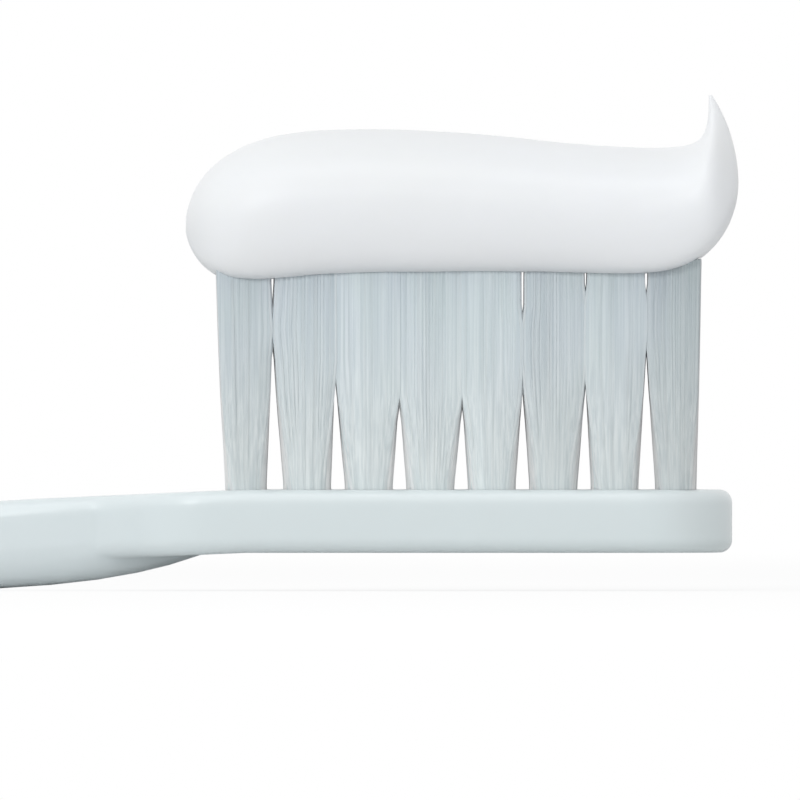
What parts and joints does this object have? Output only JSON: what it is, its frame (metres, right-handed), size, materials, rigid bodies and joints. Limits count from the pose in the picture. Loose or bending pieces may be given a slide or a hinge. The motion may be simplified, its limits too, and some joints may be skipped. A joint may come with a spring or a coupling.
{
  "type": "toothbrush",
  "caption": "Adult toothbrush with a compact head, trimmed nylon tufts and a strip of white toothpaste on the bristles, lying on its back.",
  "frame": {"origin": "on the handle's flat back, under the widest part of the grip", "axes": "+X from the handle's end to the head's tip, +Z the way the bristles point, +Y to the left"},
  "size_m": [0.1783, 0.0116, 0.0236],
  "materials": {
    "handle_plastic": "satin",
    "nylon": "satin",
    "paste": "satin",
    "anchor_metal": "satin"
  },
  "bodies": {
    "root": {"handle": "handle_plastic", "anchors": "anchor_metal", "tuft_right_1": "nylon", "tuft_right_2": "nylon", "tuft_right_3": "nylon", "tuft_right_4": "nylon", "tuft_right_5": "nylon", "tuft_right_6": "nylon", "tuft_right_7": "nylon", "tuft_right_8": "nylon", "tuft_middle_1": "nylon", "tuft_middle_2": "nylon", "tuft_middle_3": "nylon", "tuft_middle_4": "nylon", "tuft_middle_5": "nylon", "tuft_middle_6": "nylon", "tuft_middle_7": "nylon", "tuft_middle_8": "nylon", "tuft_left_1": "nylon", "tuft_left_2": "nylon", "tuft_left_3": "nylon", "tuft_left_4": "nylon", "tuft_left_5": "nylon", "tuft_left_6": "nylon", "tuft_left_7": "nylon", "tuft_left_8": "nylon", "toothpaste": "paste"}
  },
  "joints": []
}
